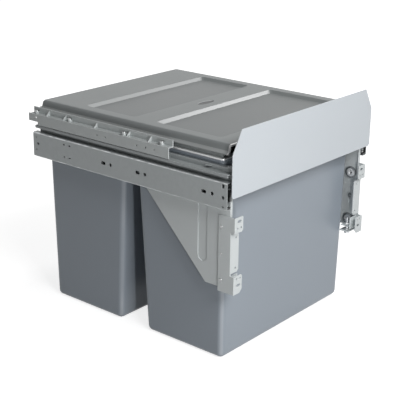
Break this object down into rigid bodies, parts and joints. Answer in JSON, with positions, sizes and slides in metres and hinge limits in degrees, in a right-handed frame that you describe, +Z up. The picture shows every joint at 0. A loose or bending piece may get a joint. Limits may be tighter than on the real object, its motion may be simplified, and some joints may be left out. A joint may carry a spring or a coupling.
{
  "type": "pull-out bin frame",
  "caption": "Pull-out frame for a cabinet: rectangular bins hang in a steel frame on telescopic ball slides, under a lid that stays in the cabinet, with adjustable brackets for the door.",
  "frame": {"origin": "on the floor of the bins, under the middle of the whole unit's plan", "axes": "+Z up, +Y into the cabinet away from the door, +X to the right as seen from the door"},
  "size_m": [0.414, 0.4676, 0.41],
  "materials": {
    "galvanised": "galvanised",
    "steel": "bright zinc",
    "black_plastic": "matt",
    "frame_grey": "satin",
    "panel_grey": "satin",
    "grey_plastic": "satin",
    "bin_grey": "satin"
  },
  "bodies": {
    "cabinet_fixings": {"left_outer_rail": "galvanised", "right_outer_rail": "galvanised", "left_front_buffer": "black_plastic", "right_front_buffer": "black_plastic", "left_damper_housing": "black_plastic", "right_damper_housing": "black_plastic", "left_damper_rod": "steel", "right_damper_rod": "steel", "left_lid_bracket": "grey_plastic", "right_lid_bracket": "grey_plastic", "lid_frame": "frame_grey", "lid_bracket_screws": "steel"},
    "bin_frame": {"left_inner_rail": "galvanised", "right_inner_rail": "galvanised", "left_side_rail": "frame_grey", "right_side_rail": "frame_grey", "left_side_plate": "frame_grey", "right_side_plate": "frame_grey", "slide_end_caps": "black_plastic", "front_crossbar": "frame_grey", "middle_crossbar": "frame_grey", "rear_crossbar": "frame_grey", "frame_rivets": "steel", "front_panel": "panel_grey", "panel_nuts": "steel", "adjuster_nuts": "steel", "front_bin": "bin_grey", "rear_bin": "bin_grey"},
    "lid": {"lid": "grey_plastic"},
    "left_middle_rail": {"left_middle_rail": "galvanised"},
    "left_outer_ball_cage": {"left_outer_cage": "steel", "left_outer_balls": "steel"},
    "left_inner_ball_cage": {"left_inner_cage": "steel", "left_inner_balls": "steel"},
    "left_door_bracket": {"left_door_bracket": "frame_grey", "left_clamp_screws": "steel"},
    "left_height_screw": {"left_height_screw": "steel"},
    "right_middle_rail": {"right_middle_rail": "galvanised"},
    "right_outer_ball_cage": {"right_outer_cage": "steel", "right_outer_balls": "steel"},
    "right_inner_ball_cage": {"right_inner_cage": "steel", "right_inner_balls": "steel"},
    "right_door_bracket": {"right_door_bracket": "frame_grey", "right_clamp_screws": "steel"},
    "right_height_screw": {"right_height_screw": "steel"}
  },
  "joints": [
    {"name": "pull_out", "type": "slide", "parent": "cabinet_fixings", "child": "bin_frame", "axis": [0, -1, 0], "range_m": [0, 0.43]},
    {"name": "lid_lift", "type": "slide", "parent": "cabinet_fixings", "child": "lid", "axis": [0, 0, 1], "range_m": [0, 0.08]},
    {"name": "left_middle_run", "type": "slide", "parent": "cabinet_fixings", "child": "left_middle_rail", "axis": [0, -1, 0], "range_m": [0, 0.215]},
    {"name": "left_outer_cage_run", "type": "slide", "parent": "cabinet_fixings", "child": "left_outer_ball_cage", "axis": [0, -1, 0], "range_m": [0, 0.1075]},
    {"name": "left_inner_cage_run", "type": "slide", "parent": "cabinet_fixings", "child": "left_inner_ball_cage", "axis": [0, -1, 0], "range_m": [0, 0.3225]},
    {"name": "left_door_height", "type": "slide", "parent": "bin_frame", "child": "left_door_bracket", "axis": [0, 0, 1], "range_m": [-0.004, 0.004]},
    {"name": "left_height_turn", "type": "hinge", "parent": "left_door_bracket", "child": "left_height_screw", "pos_m": [-0.179, -0.21225, 0.14], "axis": [0, 0, 1], "range_deg": [-1801, 1801]},
    {"name": "right_middle_run", "type": "slide", "parent": "cabinet_fixings", "child": "right_middle_rail", "axis": [0, -1, 0], "range_m": [0, 0.215]},
    {"name": "right_outer_cage_run", "type": "slide", "parent": "cabinet_fixings", "child": "right_outer_ball_cage", "axis": [0, -1, 0], "range_m": [0, 0.1075]},
    {"name": "right_inner_cage_run", "type": "slide", "parent": "cabinet_fixings", "child": "right_inner_ball_cage", "axis": [0, -1, 0], "range_m": [0, 0.3225]},
    {"name": "right_door_height", "type": "slide", "parent": "bin_frame", "child": "right_door_bracket", "axis": [0, 0, 1], "range_m": [-0.004, 0.004]},
    {"name": "right_height_turn", "type": "hinge", "parent": "right_door_bracket", "child": "right_height_screw", "pos_m": [0.179, -0.21225, 0.14], "axis": [0, 0, 1], "range_deg": [-1801, 1801]}
  ],
  "couplings": [
    {"joint": "left_middle_run", "follows": "pull_out", "ratio": 0.5},
    {"joint": "left_outer_cage_run", "follows": "pull_out", "ratio": 0.25},
    {"joint": "left_inner_cage_run", "follows": "pull_out", "ratio": 0.75},
    {"joint": "left_height_turn", "follows": "left_door_height", "rad_per_m": 7854},
    {"joint": "right_middle_run", "follows": "pull_out", "ratio": 0.5},
    {"joint": "right_outer_cage_run", "follows": "pull_out", "ratio": 0.25},
    {"joint": "right_inner_cage_run", "follows": "pull_out", "ratio": 0.75},
    {"joint": "right_height_turn", "follows": "right_door_height", "rad_per_m": 7854}
  ]
}
